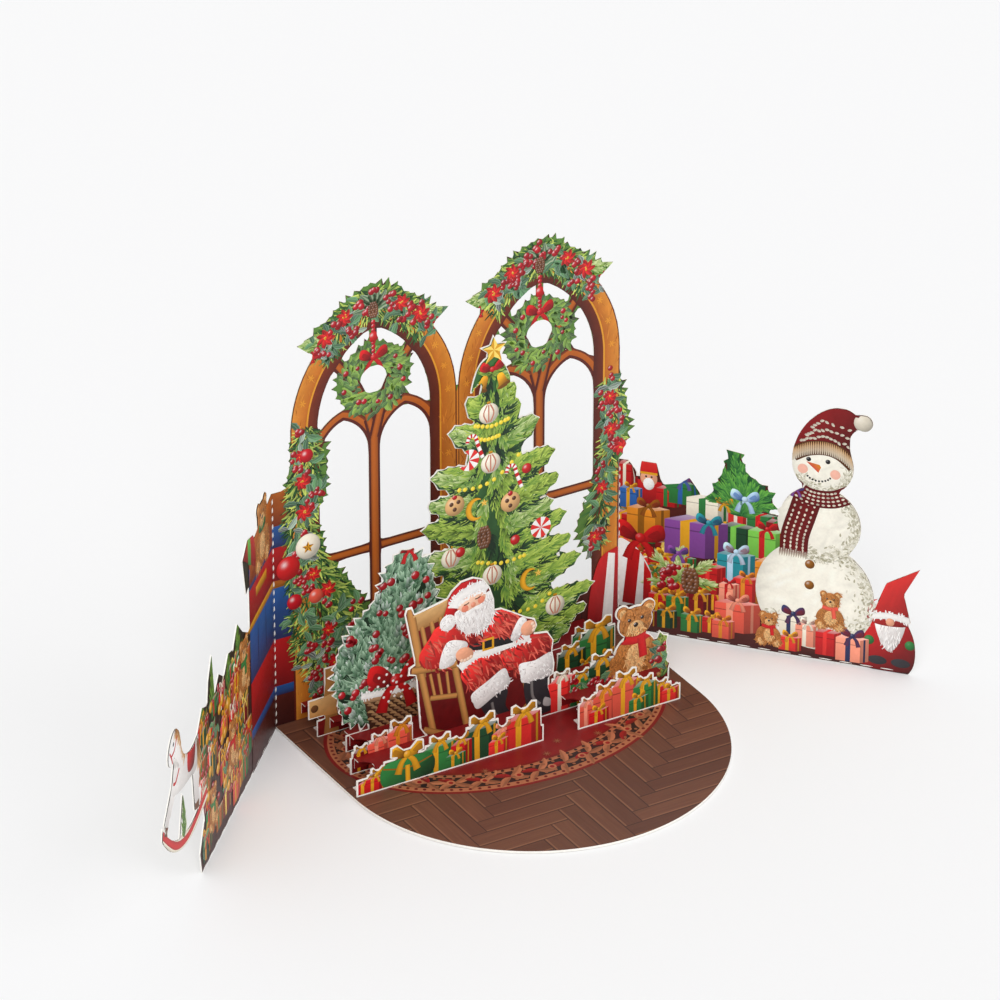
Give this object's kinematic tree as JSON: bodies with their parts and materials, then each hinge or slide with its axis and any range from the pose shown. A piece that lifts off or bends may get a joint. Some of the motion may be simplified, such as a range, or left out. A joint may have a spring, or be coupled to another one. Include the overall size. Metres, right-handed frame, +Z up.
{
  "type": "pop-up greeting card",
  "caption": "Pop-up winter card standing open: folded window screen with two wings, a round-fronted floor board and stepped die-cut picture layers held by shelf strips.",
  "frame": {"origin": "centre of the floor board's round front edge, on its underside", "axes": "+Z up, -Y towards the front of the card, +X to the right as seen from the front"},
  "size_m": [0.3352, 0.1355, 0.1791],
  "materials": {
    "printed_card": "satin",
    "floor_board": "satin",
    "strip_card": "satin"
  },
  "bodies": {
    "root": {"wall_screen": "printed_card", "floor_base": "floor_board", "tree_layer": "printed_card", "basket_layer": "printed_card", "santa_layer": "printed_card", "gift_row_left": "printed_card", "gift_row_right": "printed_card", "wall_strip": "strip_card", "tree_strip": "strip_card", "basket_strip": "strip_card", "gift_strip_left": "strip_card", "gift_strip_right": "strip_card"}
  },
  "joints": []
}
